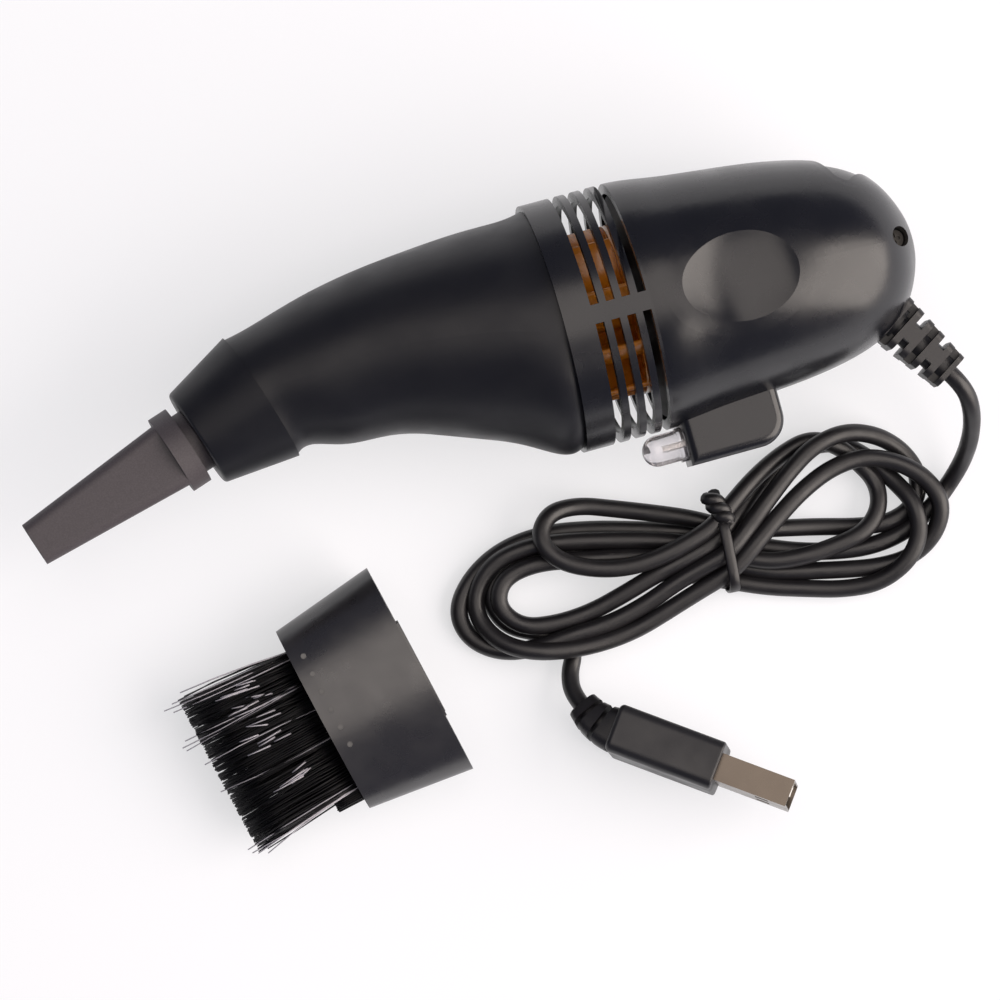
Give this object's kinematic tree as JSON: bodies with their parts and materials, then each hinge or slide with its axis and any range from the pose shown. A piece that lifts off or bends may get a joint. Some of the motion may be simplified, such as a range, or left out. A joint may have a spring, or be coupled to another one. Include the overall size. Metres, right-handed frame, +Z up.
{
  "type": "desktop mini vacuum cleaner",
  "caption": "Small corded handheld vacuum for desks and keyboards, lying on its side with its tied cord, plug and loose brush head.",
  "frame": {"origin": "on the surface that the object lies on, straight below the motor axis, at the side rib of the air vents", "axes": "+X back along the motor axis, from the nose to the rear; +Z up from the surface; +Y towards the vacuum's top edge, the side away from the lamp"},
  "size_m": [0.1526, 0.1049, 0.041],
  "materials": {
    "shell": "moulded black, satin gloss",
    "nozzle": "dark warm grey, fine moulded texture",
    "screw": "dark zinc",
    "inner_plastic": "black, moulded",
    "steel": "plain",
    "magnet": "ferrite, dull",
    "copper": "copper",
    "bronze": "sintered bronze",
    "carbon": "carbon, dull",
    "fan": "amber, slightly clear",
    "cloth": "non-woven, pale",
    "lens": "clear lamp resin",
    "resistor": "tan lacquer with bands",
    "knob": "black, satin",
    "wire": "insulated, satin",
    "cord": "black, satin",
    "tie": "black, coated wire",
    "plug_plastic": "black, satin",
    "plug_metal": "nickel plate",
    "plug_white": "white",
    "gold": "gold plate",
    "ferrule": "moulded black, satin",
    "bristle": "black nylon filaments"
  },
  "bodies": {
    "body": {"housing_left": "shell", "housing_right": "shell", "housing_screw": "screw", "motor_mount": "inner_plastic", "motor_can": "steel", "motor_magnets": "magnet", "motor_end_cap": "inner_plastic", "motor_bushings": "bronze", "motor_brushes": "carbon", "motor_screws": "screw", "led_lens": "lens", "led_leads": "steel", "led_resistor": "resistor", "switch_body": "inner_plastic", "switch_terminals": "copper", "motor_wires": "wire", "strain_relief": "cord", "cord_lead": "cord", "cord_hank": "cord", "cord_tail": "cord", "cord_tie": "tie", "plug_boot": "cord", "plug_body": "plug_plastic", "plug_shell": "plug_metal", "plug_tongue": "plug_white", "plug_contacts": "gold"},
    "rotor": {"impeller": "fan", "motor_shaft": "steel", "armature": "steel", "armature_coils": "copper", "commutator": "copper"},
    "slider": {"switch_slider": "knob"},
    "nose": {"front_shell": "shell", "nose_ring": "shell"},
    "nozzle": {"nozzle": "nozzle"},
    "filter": {"filter_frame": "inner_plastic", "filter_cloth": "cloth"},
    "brush": {"brush_ferrule": "ferrule", "brush_plate": "inner_plastic", "brush_bristles": "bristle", "brush_stub": "ferrule"}
  },
  "joints": [
    {"name": "impeller_spin", "type": "hinge", "parent": "body", "child": "rotor", "pos_m": [0, 0, 0.0202], "axis": [1, 0, 0], "continuous": true},
    {"name": "switch_slide", "type": "slide", "parent": "body", "child": "slider", "axis": [0.8572, -0.515, 0], "range_m": [0, 0.002]},
    {"name": "nose_pull", "type": "slide", "parent": "body", "child": "nose", "axis": [-1, 0, 0], "range_m": [0, 0.06]},
    {"name": "nozzle_pull", "type": "slide", "parent": "nose", "child": "nozzle", "axis": [-0.9516, -0.3074, 0], "range_m": [0, 0.012]},
    {"name": "filter_pull", "type": "slide", "parent": "body", "child": "filter", "axis": [-1, 0, 0], "range_m": [0, 0.006]},
    {"name": "brush_shift", "type": "slide", "parent": "body", "child": "brush", "axis": [-0.9757, -0.219, 0], "range_m": [0, 0.02]}
  ]
}
